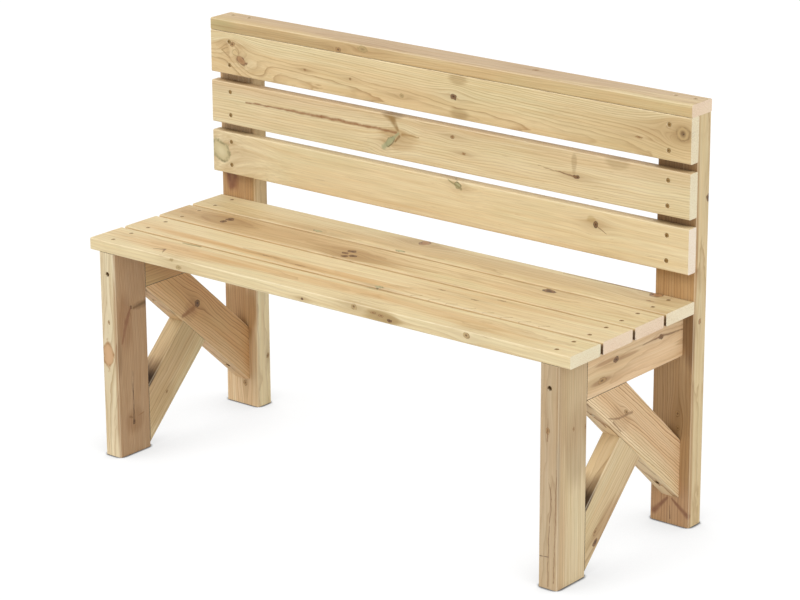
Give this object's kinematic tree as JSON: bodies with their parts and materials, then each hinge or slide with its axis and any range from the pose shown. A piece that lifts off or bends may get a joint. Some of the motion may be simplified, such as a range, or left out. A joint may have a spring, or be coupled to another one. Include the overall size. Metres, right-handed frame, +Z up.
{
  "type": "outdoor bench",
  "caption": "Straight backed outdoor bench of planed treated pine: slatted seat and back on two braced end frames, with a flat cap rail.",
  "frame": {"origin": "on the ground under the middle of the bench's bounding box", "axes": "+X along the bench towards its right end as seen from the front, +Y from the front to the back, +Z up"},
  "size_m": [1.2, 0.446, 0.854],
  "materials": {
    "treated_pine": "planed pressure-treated pine, bare",
    "screw_steel": "dull zinc plating"
  },
  "bodies": {
    "root": {"seat_slat_1": "treated_pine", "seat_slat_2": "treated_pine", "seat_slat_3": "treated_pine", "seat_slat_4": "treated_pine", "back_slat_bottom": "treated_pine", "back_slat_middle": "treated_pine", "back_slat_top": "treated_pine", "cap_rail": "treated_pine", "front_leg_left": "treated_pine", "front_leg_right": "treated_pine", "rear_post_left": "treated_pine", "rear_post_right": "treated_pine", "seat_bearer_left": "treated_pine", "seat_bearer_right": "treated_pine", "long_brace_left": "treated_pine", "long_brace_right": "treated_pine", "short_brace_left": "treated_pine", "short_brace_right": "treated_pine", "seat_screws": "screw_steel", "back_screws": "screw_steel", "cap_screws": "screw_steel", "leg_screws": "screw_steel", "post_screws": "screw_steel", "long_brace_upper_screws": "screw_steel", "long_brace_lower_screws": "screw_steel", "short_brace_upper_screws": "screw_steel", "short_brace_lower_screws": "screw_steel"}
  },
  "joints": []
}
